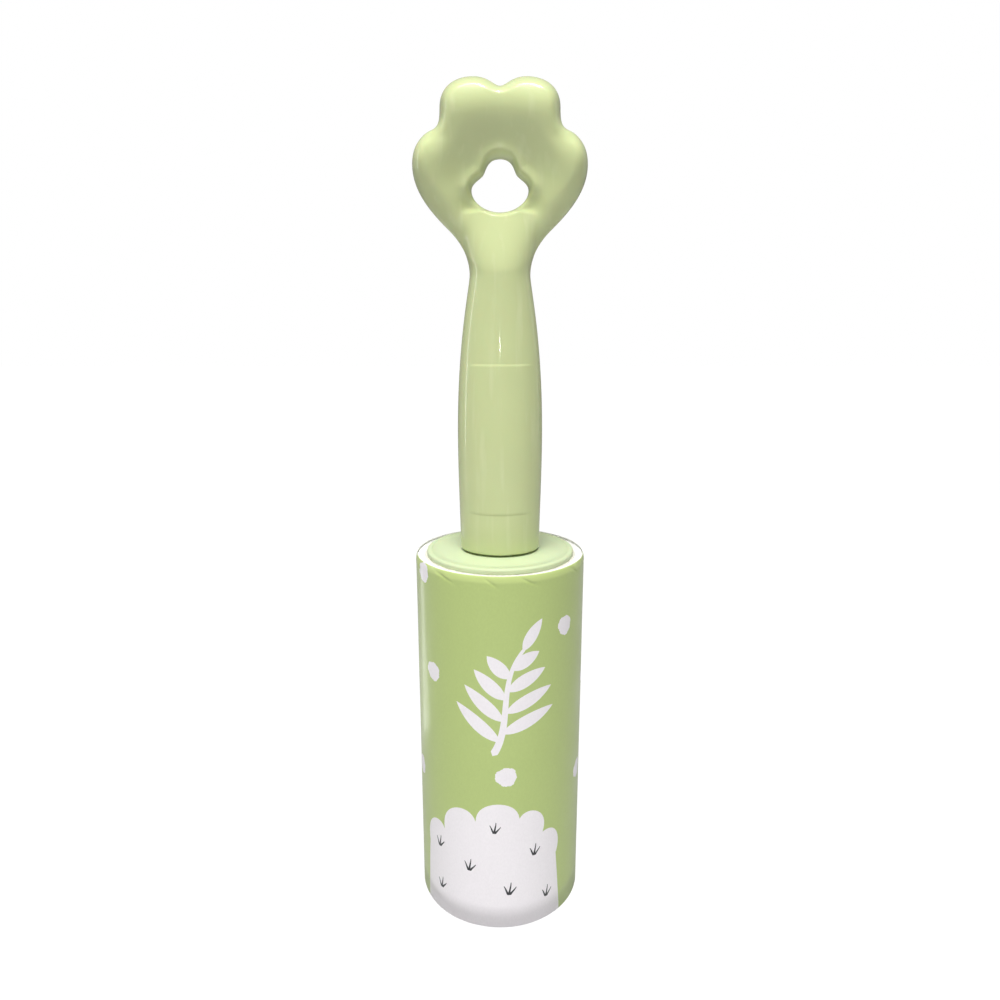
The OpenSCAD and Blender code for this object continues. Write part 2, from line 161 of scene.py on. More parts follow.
class Shader:
    """A Principled material with short calls for the nodes that feed it."""

    def __init__(self, name, colour, roughness):
        self.material = bpy.data.materials.new(name)
        self.material.use_nodes = True
        self.tree = self.material.node_tree
        self.bsdf = self.tree.nodes["Principled BSDF"]
        self.bsdf.inputs["Base Color"].default_value = (*colour, 1)
        self.bsdf.inputs["Roughness"].default_value = roughness

    def set(self, **values):
        for name, value in values.items():
            self.bsdf.inputs[name.replace("_", " ").title().replace("Ior", "IOR")].default_value = value
        return self

    def node(self, kind, **values):
        made = self.tree.nodes.new(kind)
        for name, value in values.items():
            if hasattr(made, name):
                setattr(made, name, value)
            else:
                made.inputs[name.replace("_", " ")].default_value = value
        return made

    def link(self, a, b):
        self.tree.links.new(a, b)

    def place(self, stretch=(1, 1, 1)):
        """Object position in metres, stretched along each axis."""
        at = self.node("ShaderNodeTexCoord")
        mapping = self.node("ShaderNodeMapping")
        mapping.inputs["Scale"].default_value = stretch
        self.link(at.outputs["Object"], mapping.inputs["Vector"])
        return mapping.outputs["Vector"]

    def noise(self, per_metre, detail=3.0, stretch=(1, 1, 1)):
        made = self.node("ShaderNodeTexNoise", Scale=per_metre, Detail=detail)
        self.link(self.place(stretch), made.inputs["Vector"])
        return made.outputs["Fac"]

    def ramp(self, value, stops):
        made = self.node("ShaderNodeValToRGB")
        made.color_ramp.elements[0].position, first = stops[0][0], stops[0][1]
        made.color_ramp.elements[0].color = (*first, 1)
        made.color_ramp.elements[1].position, last = stops[-1][0], stops[-1][1]
        made.color_ramp.elements[1].color = (*last, 1)
        for position, colour in stops[1:-1]:
            made.color_ramp.elements.new(position).color = (*colour, 1)
        self.link(value, made.inputs["Fac"])
        return made.outputs["Color"]

    def above(self, colour, height, upper):
        """The colour below a height in metres, and another one above it."""
        at = self.node("ShaderNodeTexCoord")
        parts = self.node("ShaderNodeSeparateXYZ")
        share = self.node("ShaderNodeMapRange")
        share.inputs["From Min"].default_value = height
        share.inputs["From Max"].default_value = height + 0.0006
        mix = self.node("ShaderNodeMixRGB")
        mix.inputs["Color2"].default_value = (*upper, 1)
        self.link(at.outputs["Object"], parts.inputs[0])
        self.link(parts.outputs["Z"], share.inputs["Value"])
        self.link(share.outputs["Result"], mix.inputs["Fac"])
        self.link(colour, mix.inputs["Color1"])
        return mix.outputs["Color"]

    def lighten(self, colour, value, start, full, amount):
        """The colour mixed with pale yellow by up to amount as the value goes from start to full."""
        share = self.node("ShaderNodeMapRange")
        share.inputs["From Min"].default_value = start
        share.inputs["From Max"].default_value = full
        share.inputs["To Max"].default_value = amount
        self.link(value, share.inputs["Value"])
        mix = self.node("ShaderNodeMixRGB")
        mix.inputs["Color2"].default_value = (1, 1, 0.8, 1)
        self.link(share.outputs["Result"], mix.inputs["Fac"])
        self.link(colour, mix.inputs["Color1"])
        return mix.outputs["Color"]

    def span(self, value, least, most):
        """The value's range 0.3 to 0.7 spread from least to most."""
        made = self.node("ShaderNodeMapRange")
        made.inputs["From Min"].default_value = 0.3
        made.inputs["From Max"].default_value = 0.7
        made.inputs["To Min"].default_value = least
        made.inputs["To Max"].default_value = most
        self.link(value, made.inputs["Value"])
        return made.outputs["Result"]

    def bump(self, *layers):
        """Layers are (height output, depth in metres), added one on another."""
        normal = None
        for value, depth in layers:
            made = self.node("ShaderNodeBump", Distance=depth)
            self.link(value, made.inputs["Height"])
            if normal is not None:
                self.link(normal, made.inputs["Normal"])
            normal = made.outputs["Normal"]
        self.link(normal, self.bsdf.inputs["Normal"])

    def colour_from(self, output):
        self.link(output, self.bsdf.inputs["Base Color"])

    def roughness_from(self, output):
        self.link(output, self.bsdf.inputs["Roughness"])


def shade(colour, factor):
    return tuple(min(1, c * factor) for c in colour)


def moulded_plastic(name, colour, roughness):
    """Injection-moulded plastic: faint cloudy colour, slight ripple and fine scuffs in the gloss."""
    m = Shader(name, colour, roughness)
    cloud = m.noise(CLOUDS, 2)
    m.colour_from(m.ramp(cloud, [(0.3, shade(colour, 0.97)), (0.7, shade(colour, 1.03))]))
    m.roughness_from(m.span(m.noise(160, 5), roughness * 0.8, roughness * 1.35))
    m.bump((m.noise(RIPPLES, 1), 0.00002), (m.noise(SCUFFS, 2), 0.0000012))
    return m


def handle_material():
    """Glossy moulding with a clear skin and faint lengthwise rubbed streaks where it is held: they vary the
    gloss, and are also painted paler as a painted sheen.
    """
    m = Shader("handle_gloss_abs", HANDLE_GREEN, 0.34)
    cloud = m.ramp(m.noise(CLOUDS, 2), [(0.3, shade(HANDLE_GREEN, 0.975)), (0.7, shade(HANDLE_GREEN, 1.025))])
    rubs_and_sheen = m.noise(420, 3, (1, 1, 0.1))
    # painted sheen: the streaks also lift the colour towards pale yellow, besides the real change in gloss
    # below
    m.colour_from(m.lighten(cloud, rubs_and_sheen, 0.56, 0.74, 0.10))
    m.roughness_from(m.span(rubs_and_sheen, 0.3, 0.42))
    m.bump((m.noise(RIPPLES, 1), 0.00002), (m.noise(SCUFFS, 2), 0.0000012))
    m.set(subsurface_weight=0.06, subsurface_scale=0.002, coat_weight=0.5, coat_roughness=0.035)
    return m.material


def flange_material():
    m = moulded_plastic("flange_satin_abs", FLANGE_GREEN, 0.36)
    m.set(subsurface_weight=0.06, subsurface_scale=0.002)
    return m.material


def print_material(name, colour, painted_light_colour=None):
    """Ink on coated paper under a clear film, with the paper's slow waves in the gloss; a second colour, when
    given, is painted above the fold height as painted light on the top margin.
    """
    roughness = 0.335
    m = Shader(name, colour, roughness)
    fibre = m.noise(2200, 4, (1, 1, 0.6))
    ink = m.ramp(fibre, [(0.3, shade(colour, 0.975)), (0.7, shade(colour, 1.02))])
    # painted light: above the fold height the ink gives way to a lighter green for light on the up-turned
    # margin
    m.colour_from(m.above(ink, WRAPPER_FOLD * MM, painted_light_colour) if painted_light_colour else ink)
    m.roughness_from(m.span(m.noise(90, 3), roughness * 0.85, roughness * 1.2))
    m.bump((m.noise(60, 1, (1, 1, 0.35)), 0.00012), (m.noise(1500, 3), 0.000004))
    m.set(coat_weight=0.35, coat_roughness=0.12)
    return m.material


def paper_material(name, colour):
    m = Shader(name, colour, 0.7)
    fibre = m.noise(1800, 5)
    m.colour_from(m.ramp(fibre, [(0.3, shade(colour, 0.95)), (0.7, shade(colour, 1.0))]))
    m.bump((fibre, 0.00003))
    return m.material


def layered_paper():
    """Cut end of the wound sheets: a spiral of thin layers, white liner and faint adhesive."""
    colour = (0.97, 0.97, 0.93)
    m = Shader("sheet_ends", colour, 0.6)
    at = m.node("ShaderNodeTexCoord")
    rings = m.node("ShaderNodeTexWave", wave_type="RINGS", rings_direction="Z", Scale=1600.0, Distortion=0.8)
    rings.inputs["Detail"].default_value = 2
    m.link(at.outputs["Object"], rings.inputs["Vector"])
    m.colour_from(m.ramp(rings.outputs["Fac"], [(0.0, shade(colour, 0.86)), (0.6, colour)]))
    m.bump((rings.outputs["Fac"], 0.00004), (m.noise(400, 3), 0.00005))
    return m.material


def card_material():
    colour = (0.78, 0.75, 0.66)
    m = Shader("grey_brown_card", colour, 0.85)
    fibre = m.noise(900, 6, (1, 1, 3))
    m.colour_from(m.ramp(fibre, [(0.3, shade(colour, 0.8)), (0.55, colour), (0.72, shade(colour, 1.25))]))
    m.bump((fibre, 0.00006))
    return m.material


def steel_material():
    m = Shader("zinc_plated_steel", (0.66, 0.67, 0.68), 0.3)
    m.set(metallic=1.0)
    m.roughness_from(m.span(m.noise(900, 4, (1, 1, 0.2)), 0.285, 0.42))
    m.bump((m.noise(1500, 3), 0.00001))
    return m.material


# ---------------------------------------------------------------- handle

HALF_GAP = 0.02  # each half stands this far from the parting plane
PAW_TOP = 45.0  # the paw's height above the neck
NECK_HALF = 7.6  # half widths
GRIP_HALF = 11.05
NECK_DEPTH = 7.5  # half depths
GRIP_DEPTH = 9.5
TOE_DEPTH = 8.7
PLATE_DEPTH = 3.8
DISH_DEPTH = 3.1
DISH_MORE = 1.5  # how much deeper the dish is above the hole
LIP_HEIGHT = 0.75  # lip round the hole
BAR_DROP = 3.8  # how much the neck's bar thins on its way up to the hole
BAR_TOP = 14.6  # where the bar ends, below the hole
VALLEY_SOFT = 1.0  # blend between the bar and the paw
POCKET_DEPTH = 1.4  # hollows beside the hole's lower corners
HOLE_ROUND = 1.5
EDGE_ROUND = 3.4  # rounding of the paw's edge away from the neck
ROLL_RADIUS = 13.0  # the toes roll over towards the top like a bar of this radius
SEAM_DEPTH = 0.12  # groove where the two halves meet
SEAM_WIDTH = 0.25
WALL = 1.2  # thickness of the moulding
JOURNAL_HOLE = 6.04  # radius of the spindle's hole in the lower end
LOWER_EDGE = 0.62  # how far in from the edge the close rows at the lower end reach
PANEL_TOP, PANEL_BOTTOM, PANEL_WIDTH, PANEL_RISE = -21.5, -60.0, 17.0, 0.16

shell_low, shell_high = box_mm("handle_front_shell")
NECK_Z = shell_high.z - PAW_TOP
END = shell_low.z - NECK_Z

PAW = [
    [(0, 42.7), (1.3, 42.7), (2.7, 45.0), (6.3, 45.0)],
    [(6.3, 45.0), (10.6, 45.0), (14.4, 42.4), (14.4, 38.0)],
    [(14.4, 38.0), (14.45, 35), (14.7, 33.6), (16.5, 33)],
    [(16.5, 33), (19.2, 32), (21.25, 29.2), (21.25, 25.2)],
    [(21.25, 25.2), (21.25, 19.6), (17.2, 14.9), (12.9, 10.8)],
    [(12.9, 10.8), (9.4, 7.5), (NECK_HALF, 3.8), (NECK_HALF, 0)],
]
HOLE = [
    [(0, 14.7), (3.4, 14.7), (6.95, 17), (6.95, 19.8)],
    [(6.95, 19.8), (6.95, 21.6), (4.9, 22.3), (4.1, 23.3)],
    [(4.1, 23.3), (3.3, 24.3), (3.2, 27.1), (0, 27.1)],
]
HOLE_MID = np.array([0, 20.0])
GRIP = [
    [(NECK_HALF, 0), (NECK_HALF, -3), (GRIP_HALF, -16), (GRIP_HALF, -42)],
    [(GRIP_HALF, -42), (GRIP_HALF, -52), (GRIP_HALF - 0.4, -62), (GRIP_HALF - 0.5, END)],
]

CIRCLE_STEPS = 64
SCREW_HEAD_R = 2.6
WELL_R = 2.8
SEAT = 3.4  # depth at which the screw heads bear
SHANK_R = 1.45
screws_low, screws_high = box_mm("shell_screws")
HEAD_TOP = screws_high.y
SCREW_END = screws_low.y
SCREW_AT = [
    (0, screws_low.z + SCREW_HEAD_R),
    (screws_high.x - SCREW_HEAD_R, screws_high.z - SCREW_HEAD_R),
    (screws_low.x + SCREW_HEAD_R, screws_high.z - SCREW_HEAD_R),
]


def bezier(piece, t):
    p = np.array(piece, float)
    t = np.asarray(t, float)[..., None]
    return (1 - t) ** 3 * p[0] + 3 * (1 - t) ** 2 * t * p[1] + 3 * (1 - t) * t * t * p[2] + t**3 * p[3]


def chain(pieces, steps, closed_end=False):
    points = np.concatenate([bezier(p, np.arange(steps) / steps) for p in pieces])
    return np.vstack([points, pieces[-1][3]]) if closed_end else points


def turned(points, degrees, at):
    """Flat points turned about the origin and moved."""
    a = math.radians(degrees)
    return [
        (at[0] + x * math.cos(a) - y * math.sin(a), at[1] + x * math.sin(a) + y * math.cos(a))
        for x, y in points
    ]


def smooth(v):
    c = np.clip(v, 0, 1)
    return c * c * (3 - 2 * c)


def line_distance(points, line):
    """Distance from each point (mirrored to x >= 0) to a polyline."""
    p = np.column_stack([np.abs(points[:, 0]), points[:, 1]])
    best = np.full(len(p), 1e9)
    for a, b in zip(line[:-1], line[1:]):
        ab = b - a
        t = np.clip(((p - a) @ ab) / (ab @ ab), 0, 1)
        best = np.minimum(best, np.linalg.norm(p - a - t[:, None] * ab, axis=1))
    return best


def edge_round(distance, radius):
    u = np.clip(distance / radius, 0, 1)
    return np.sqrt(np.maximum(0, 1 - (1 - u) ** 2))


def spine(z):
    """Half depth of the grip at a height at or below the neck."""
    return NECK_DEPTH + (GRIP_DEPTH - NECK_DEPTH) * smooth(-z / 48)


def paw_plate(x, z, hole_distance):
    """Half depth of the paw: thick at the toes, dished round a soft lip at the hole."""
    plate = PLATE_DEPTH + (TOE_DEPTH - PLATE_DEPTH) * smooth((z - 1) / 35)
    toes = 0.4 * np.exp(-((x - 7.5) ** 2 + (z - 38.5) ** 2) / 30)
    toes = toes + 0.4 * np.exp(-((x - 16) ** 2 + (z - 27.5) ** 2) / 25)
    reach = np.maximum(0, np.hypot(x, z - 20.6) - 6.2)
    dish = (DISH_DEPTH + DISH_MORE * smooth((z - 16) / 10)) * np.exp(-((reach / 8.2) ** 2))
    lip = LIP_HEIGHT * np.exp(-(((hole_distance - 1.0) / 1.5) ** 2)) * smooth((z - 17) / 4)
    pocket = POCKET_DEPTH * np.exp(-((x - 7.6) ** 2) / 5 - (z - 16.2) ** 2 / 7)
    return plate + toes - dish + lip - pocket


def neck_bar(x, z):
    """Half depth of the neck's round bar, which thins as it runs up under the paw."""
    t = z / 15
    depth = NECK_DEPTH - BAR_DROP * 1.25 * t * t / (t + 0.25)
    power = 2 + 0.4 * smooth(z / 14)
    across = np.clip(x / (NECK_HALF + 0.18 * z), 0, 1)
    soft = smooth((x - 4) / 4)
    end = smooth((z - BAR_TOP + 0.6 * soft) / (1.2 + soft))
    return depth * (1 - across**power) ** (1 / power) * (1 - end)


def toe_roll(x, z):
    """Share of the depth that is left where the toes roll over towards their tops."""
    top = 46 - 11.5 * smooth((x - 6) / 11) * smooth((38 - z) / 8)
    under = np.clip((top - z) / ROLL_RADIUS, 0.02, 1)
    return np.sqrt(1 - (1 - under) ** 2)


def half_depth(points, outline, hole_line):
    x, z = np.abs(points[:, 0]), points[:, 1]
    edge_radius = NECK_HALF + (EDGE_ROUND - NECK_HALF) * smooth((z - 6) / 24)
    edge = edge_round(line_distance(points, outline), edge_radius)
    hole_distance = line_distance(points, hole_line)
    plate = edge * toe_roll(x, z) * paw_plate(x, z, hole_distance)
    bar = np.minimum(neck_bar(x, z), edge * NECK_DEPTH)
    soft = VALLEY_SOFT * edge + 1e-6
    share = np.clip(0.5 + 0.5 * (plate - bar) / soft, 0, 1)
    depth = plate * share + bar * (1 - share) + soft * share * (1 - share)
    return edge_round(hole_distance, HOLE_ROUND) * depth


def panel_rise(x, z):
    """Height of the thumb panel on the front of the grip."""
    inside = smooth((PANEL_TOP - z) / 0.7) * smooth((z - PANEL_BOTTOM) / 0.7)
    return PANEL_RISE * inside * smooth((PANEL_WIDTH / 2 - np.abs(x)) / 2.5)


def seam_groove(depth):
    """How far the skin draws in close to the parting plane."""
    return SEAM_DEPTH * np.exp(-((depth / SEAM_WIDTH) ** 2))


def half_shell(name, side):
    """Outer skin of one half of the handle, closed over its lower end. Side -1 is the front."""
    fine, rings, across, rows = 22, 44, 26, 150
    outline = np.vstack([chain(PAW, fine), chain(GRIP, fine, True)])
    hole_line = chain(HOLE, fine, True)
    right = chain(PAW, fine)
    angle = np.pi / 2 * (1 - np.arange(2 * across + 1) / across)
    cut = np.column_stack([NECK_HALF * np.sin(angle), np.zeros(2 * across + 1)])
    left = right[:0:-1] * [-1, 1]
    rim = np.vstack([right, cut, left])
    on_cut = np.zeros(len(rim), bool)
    on_cut[len(right) : len(right) + len(cut)] = True

    from_hole = hole_line - HOLE_MID
    hole_angle = np.arctan2(from_hole[:, 1], from_hole[:, 0])
    rim_angle = np.arctan2(rim[:, 1] - HOLE_MID[1], np.abs(rim[:, 0]))
    radius = np.interp(rim_angle, hole_angle, np.linalg.norm(from_hole, axis=1))
    facing = np.where(rim[:, 0] < 0, -1, 1)
    inner = HOLE_MID + radius[:, None] * np.column_stack([facing * np.cos(rim_angle), np.sin(rim_angle)])

    outward = (rim - inner) / np.linalg.norm(rim - inner, axis=1)[:, None]
    points = []
    for i in range(rings + 1):
        s = (1 - math.cos(math.pi * i / rings)) / 2
        flat = inner + s * (rim - inner)
        if i == 0:
            depth = np.zeros(len(rim))
        elif i == rings:
            neck = NECK_DEPTH * np.sqrt(np.maximum(0, 1 - (flat[:, 0] / NECK_HALF) ** 2))
            depth = np.where(on_cut, neck, 0)
        else:
            depth = half_depth(flat, outline, hole_line)
        flat = flat + outward * (seam_groove(depth) * (1 if s < 0.5 else -1))[:, None]
        points.append(np.column_stack([flat[:, 0], side * depth, flat[:, 1]]))
    count = len(rim)
    faces = []
    for i in range(rings):
        for j in range(count):
            k = (j + 1) % count
            faces.append((i * count + j, (i + 1) * count + j, (i + 1) * count + k, i * count + k))

    above = [rings * count + len(right) + k for k in range(2 * across + 1)]
    total = (rings + 1) * count

    def add_row(co):
        """Joins one more row of points to the row above it."""
        nonlocal above, total
        points.append(co)
        row = list(range(total, total + len(co)))
        for k in range(2 * across):
            faces.append((above[k], row[k], row[k + 1], above[k + 1]))
        above = row
        total += len(co)

    # Rows down the grip, closer together at the panel's two steps
    even = np.linspace(0, 1, rows + 1)[1:]
    steps = [np.linspace(0.3415, 0.354, 13), np.linspace(0.7985, 0.8135, 13)]
    for t in np.unique(np.round(np.concatenate([even] + steps), 5)):
        piece = min(int(t * 2), 1)
        half, z = bezier(GRIP[piece], t * 2 - piece)
        x = half * np.sin(angle)
        depth = spine(z) * np.cos(angle)
        if side < 0:
            depth = depth + panel_rise(x, z) * (np.cos(angle) > 0.01)
        x = x - np.sign(x) * seam_groove(depth)
        add_row(np.column_stack([x, side * depth, np.full(len(x), z)]))

    # Lower end: a flat face from the edge in to the spindle's hole, with close rows at the edge
    edge = points[-1]
    for inset in (LOWER_EDGE - 0.5, LOWER_EDGE - 0.25, LOWER_EDGE):
        add_row(edge * [1 - inset / GRIP_HALF, 1 - inset / GRIP_DEPTH, 1])
    hole = JOURNAL_HOLE * np.column_stack([np.sin(angle), side * np.cos(angle)])
    add_row(np.column_stack([hole, edge[:, 2]]))

    co = np.vstack(points)
    co[:, 1] += side * HALF_GAP
    co[:, 2] += NECK_Z
    mesh = bpy.data.meshes.new(name)
    if side < 0:
        faces = [f[::-1] for f in faces]
    mesh.from_pydata((co * MM).tolist(), [], faces)
    mesh.update()
    obj = bpy.data.objects.new(name, mesh)
    scene.collection.objects.link(obj)
    bm = bmesh.new()
    bm.from_mesh(mesh)
    bmesh.ops.remove_doubles(bm, verts=bm.verts, dist=2e-7)
    bm.to_mesh(mesh)
    bm.free()
    mesh.shade_smooth()
    return obj


def add_solidify(obj, thickness):
    """Gives a skin its thickness, inwards."""
    mod = obj.modifiers.new("wall", "SOLIDIFY")
    mod.thickness = thickness * MM
    mod.offset = -1
    mod.use_even_offset = False
    return mod


def finish_mesh(mesh):
    """Faces turned outwards, smooth shading, and sharp edges where faces meet at an angle."""
    bm = bmesh.new()
    bm.from_mesh(mesh)
    bmesh.ops.recalc_face_normals(bm, faces=bm.faces)
    bm.to_mesh(mesh)
    bm.free()
    mesh.shade_smooth()
    mesh.set_sharp_from_angle(angle=SHARP)


def prisms(shapes, near, far):
    """Closed prisms along Y over flat (x, z) outlines."""
    co, faces = [], []
    for shape in shapes:
        first, count = len(co), len(shape)
        co += [(x * MM, near * MM, z * MM) for x, z in shape]
        co += [(x * MM, far * MM, z * MM) for x, z in shape]
        faces.append([first + k for k in range(count)])
        faces.append([first + count + k for k in range(count)])
        for k in range(count):
            n = (k + 1) % count
            faces.append((first + k, first + n, first + count + n, first + count + k))
    mesh = bpy.data.meshes.new("cutter")
    mesh.from_pydata(co, [], faces)
    finish_mesh(mesh)
    obj = bpy.data.objects.new("cutter", mesh)
    scene.collection.objects.link(obj)
    return obj


def cut(obj, cutter):
    """Apply an object's modifiers and take the cutter's volume out of it."""
    mod = obj.modifiers.new("cut", "BOOLEAN")
    mod.operation = "DIFFERENCE"
    mod.solver = "MANIFOLD"
    mod.object = cutter
    whole = obj.evaluated_get(bpy.context.evaluated_depsgraph_get())
    obj.data = bpy.data.meshes.new_from_object(whole)
    obj.data.materials.clear()
    obj.modifiers.clear()
    bpy.data.objects.remove(cutter)
    obj.data.set_sharp_from_angle(angle=SHARP)


def circle(centre, radius):
    turn = [2 * math.pi * k / CIRCLE_STEPS for k in range(CIRCLE_STEPS)]
    return [(centre[0] + radius * math.cos(a), centre[1] + radius * math.sin(a)) for a in turn]


def tubes(centres, rings):
    """Closed turned shapes with axes along Y. Each ring is (radius, depth or a function of x and z)."""
    co, faces = [], []
    for centre in centres:
        first = len(co)
        for radius, depth in rings:
            for x, z in circle(centre, radius):
                co.append((x * MM, (depth(x, z) if callable(depth) else depth) * MM, z * MM))
        for i in range(len(rings)):
            a, b = first + i * CIRCLE_STEPS, first + (i + 1) % len(rings) * CIRCLE_STEPS
            for k in range(CIRCLE_STEPS):
                n = (k + 1) % CIRCLE_STEPS
                faces.append((a + k, a + n, b + n, b + k))
    mesh = bpy.data.meshes.new("tubes")
    mesh.from_pydata(co, [], faces)
    finish_mesh(mesh)
    return mesh


def add_wells(half):
    """Screw wells in the rear half: a tube from the skin down to a seat with the shank's hole."""
    bpy.context.view_layer.update()

    def skin(x, z):
        return half.ray_cast((x * MM, 0.03, z * MM), (0, -1, 0))[1].y / MM - 0.15

    inner, outer, hole, foot = WELL_R - 0.02, WELL_R + 0.7, SHANK_R + 0.2, 0.3
    rings = [(inner, skin), (inner, SEAT), (hole, SEAT), (hole, foot), (outer, foot), (outer, skin)]
    wells = tubes(SCREW_AT, rings)
    cut(half, prisms([circle(at, WELL_R) for at in SCREW_AT], SEAT - 0.2, 20))
    bm = bmesh.new()
    bm.from_mesh(half.data)
    bm.from_mesh(wells)
    bm.to_mesh(half.data)
    bm.free()


def make_shell_screws():
    """Pan-head screws with a cross recess."""
    top, foot = HEAD_TOP - 0.04, SEAT + 0.04
    rings = [(0.01, top), (1.1, top - 0.05), (1.9, top - 0.3), (2.4, top - 0.75), (SCREW_HEAD_R, top - 1.2)]
    rings += [(SCREW_HEAD_R, foot + 0.08), (SCREW_HEAD_R - 0.08, foot), (SHANK_R, foot)]
    rings += [(SHANK_R, SCREW_END + 0.4), (SHANK_R - 0.4, SCREW_END), (0.01, SCREW_END)]
    obj = bpy.data.objects.new("pan_head_screws", tubes(SCREW_AT, rings))
    scene.collection.objects.link(obj)
    arm, half = 1.55, 0.33
    cross = [
        (arm, -half), (arm, half), (half, half), (half, arm), (-half, arm), (-half, half),
        (-arm, half), (-arm, -half), (-half, -half), (-half, -arm), (half, -arm), (half, -half),
    ]
    recesses = [turned(cross, 20 + 35 * k, at) for k, at in enumerate(SCREW_AT)]
    cut(obj, prisms(recesses, HEAD_TOP - 1.1, HEAD_TOP + 1))
    obj.data.materials.append(steel_material())
    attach(obj, "handle")
    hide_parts("shell_screws")


def make_handle():
    green = handle_material()
    for name, side, node in [
        ("front_half", -1, "handle_front_shell"),
        ("rear_half", 1, "handle_rear_shell"),
    ]:
        half = half_shell(name, side)
        add_solidify(half, WALL)
        if side > 0:
            add_wells(half)
        half.data.materials.append(green)
        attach(half, "handle")
        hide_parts(node)


# ---------------------------------------------------------------- printed wrapper

wrapper_high = box_mm("printed_wrapper")[1]
ROLL_R = wrapper_high.x
WRAPPER_TOP = wrapper_high.z
FILM = 0.1
SEAM_AT = 150.0  # degrees round from the front where the wrapper's outer end lies
LAP = 3.0  # millimetres that the outer end lies over the start


def ragged_dot(at, radius, seed):
    """A hand-painted dot with a slightly ragged edge."""
    points = []
    for k in range(60):
        a = 2 * math.pi * k / 60
        r = radius * (1 + 0.05 * math.sin(3 * a + seed) + 0.035 * math.sin(7 * a + 2 * seed))
        r += radius * (0.022 * math.sin(17 * a + 5 * seed) + 0.018 * math.sin(26 * a + 3 * seed))
        points.append((r * math.cos(a), 1.05 * r * math.sin(a)))
    return turned(points, 25 * seed, at)


def leaf(at, degrees, length, width):
    """A pointed leaf that grows from a point."""
    there = [(0, 0), (0.25 * length, width), (0.75 * length, 0.75 * width), (length, 0)]
    back = [(length, 0), (0.7 * length, -0.7 * width), (0.2 * length, -0.8 * width), (0, 0)]
    sides = [bezier(side, np.linspace(0, 1, 14))[:-1] for side in (there, back)]
    return turned([tuple(p) for p in np.vstack(sides)], degrees, at)


def stroke(piece, wide_from, wide_to, steps=26):
    """A brush stroke along a curve, with round ends."""
    t = np.linspace(0, 1, steps)
    middle = bezier(piece, t)
    along = np.gradient(middle, axis=0)
    along /= np.linalg.norm(along, axis=1)[:, None]
    side = np.column_stack([-along[:, 1], along[:, 0]])
    half = (wide_from + (wide_to - wide_from) * t)[:, None] / 2
    left, right = middle + side * half, middle - side * half
    start = middle[0] - along[0] * wide_from / 2
    end = middle[-1] + along[-1] * wide_to / 2
    return [tuple(p) for p in np.vstack([left, end, right[::-1], start])]


def hill():
    """A white bushy hill of five uneven scallops, standing on the wrapper's lower edge."""
    pieces = [
        [(-25, 0), (-24.5, 9), (-24.2, 15), (-23.6, 19)],
        [(-23.6, 19), (-25.5, 27.5), (-18, 30.5), (-16.4, 26.6)],
        [(-16.4, 26.6), (-18, 35), (-8.2, 38), (-6.6, 32.2)],
        [(-6.6, 32.2), (-6.5, 39.5), (4.6, 40), (5.2, 33.4)],
        [(5.2, 33.4), (7.5, 37.5), (14.4, 34), (12, 27.6)],
        [(12, 27.6), (16.5, 29.4), (19, 23.5), (16.8, 19)],
        [(16.8, 19), (17.4, 13), (18.1, 6), (18.5, 0)],
    ]
    return [tuple(p) for p in chain(pieces, 16, True)]


def tuft(at, size):
    """Three short blades of grass that fan out from a point."""
    shapes = []
    for lean, length in ((-30, 2.5), (2, 3.2), (32, 2.4)):
        blade = [(0, 0), (0, 0.35 * length), (0.12 * length, 0.7 * length), (0.1 * length, length)]
        flat = stroke([(x * size, y * size) for x, y in blade], 0.6 * size, 0.2 * size, 8)
        shapes.append(turned([(x, y + 0.5 * size) for x, y in flat], -lean, at))
    return shapes


def sprig(at, lean, size):
    """A leafy sprig drawn with a brush: a curved stem with leaves along it."""
    stem = [(0, 0), (3.5 * size, 9 * size), (-2.5 * size, 20 * size), (3 * size, 29 * size)]
    shapes = [stroke(stem, 2.0 * size, 0.9 * size)]
    shapes.append(leaf(tuple(bezier(stem, 0.99)), 66, 9.5 * size, 2.6 * size))
    for t, length in ((0.16, 15.5), (0.36, 14), (0.56, 11.5), (0.76, 8.5)):
        x, y = bezier(stem, t)
        shapes.append(leaf((x, y + 1.2 * size), 30 + 12 * t, length * size, 3 * size))
        shapes.append(leaf((x, y - 1.2 * size), 150 - 10 * t, length * size, 3 * size))
    return [turned(shape, lean, at) for shape in shapes]


def white_motifs():
    """White shapes on the unrolled wrapper, as (millimetres round from the front, height)."""
    shapes = [hill()]
    shapes += sprig((-1.5, 53), -9, 1.0)
    dots = [
        (18.7, 85.2, 2.5), (-20, 71.9, 2.5), (-24.2, 98, 2.6), (1.6, 46, 2.7), (28, 39.2, 2.6),
        (-29, 40, 2.6), (33, 66, 2.5), (44, 88, 2.4), (47, 52, 2.5), (40, 20, 2.5), (56, 30, 2.4),
        (-37, 86, 2.4), (-44, 60, 2.5), (-36, 18, 2.4), (-52, 36, 2.5), (-55, 80, 2.5),
        (-64, 56, 2.4), (-68, 20, 2.5),
    ]
    for k, (x, z, r) in enumerate(dots):
        shapes.append(ragged_dot((x, z), r, k + 1))
    return shapes


def black_motifs():
    """Small tufts of grass scattered over the white hill."""
    shapes = []
    for at, size in [
        ((-18.5, 20), 1.0), ((-1.5, 29), 0.95), ((9.5, 21), 1.0),
        ((-8.5, 16.5), 1.05), ((2.5, 10), 1.1), ((-18, 7), 1.0), ((13.5, 6.5), 1.0),
    ]:
        shapes += tuft(at, size)
    return shapes


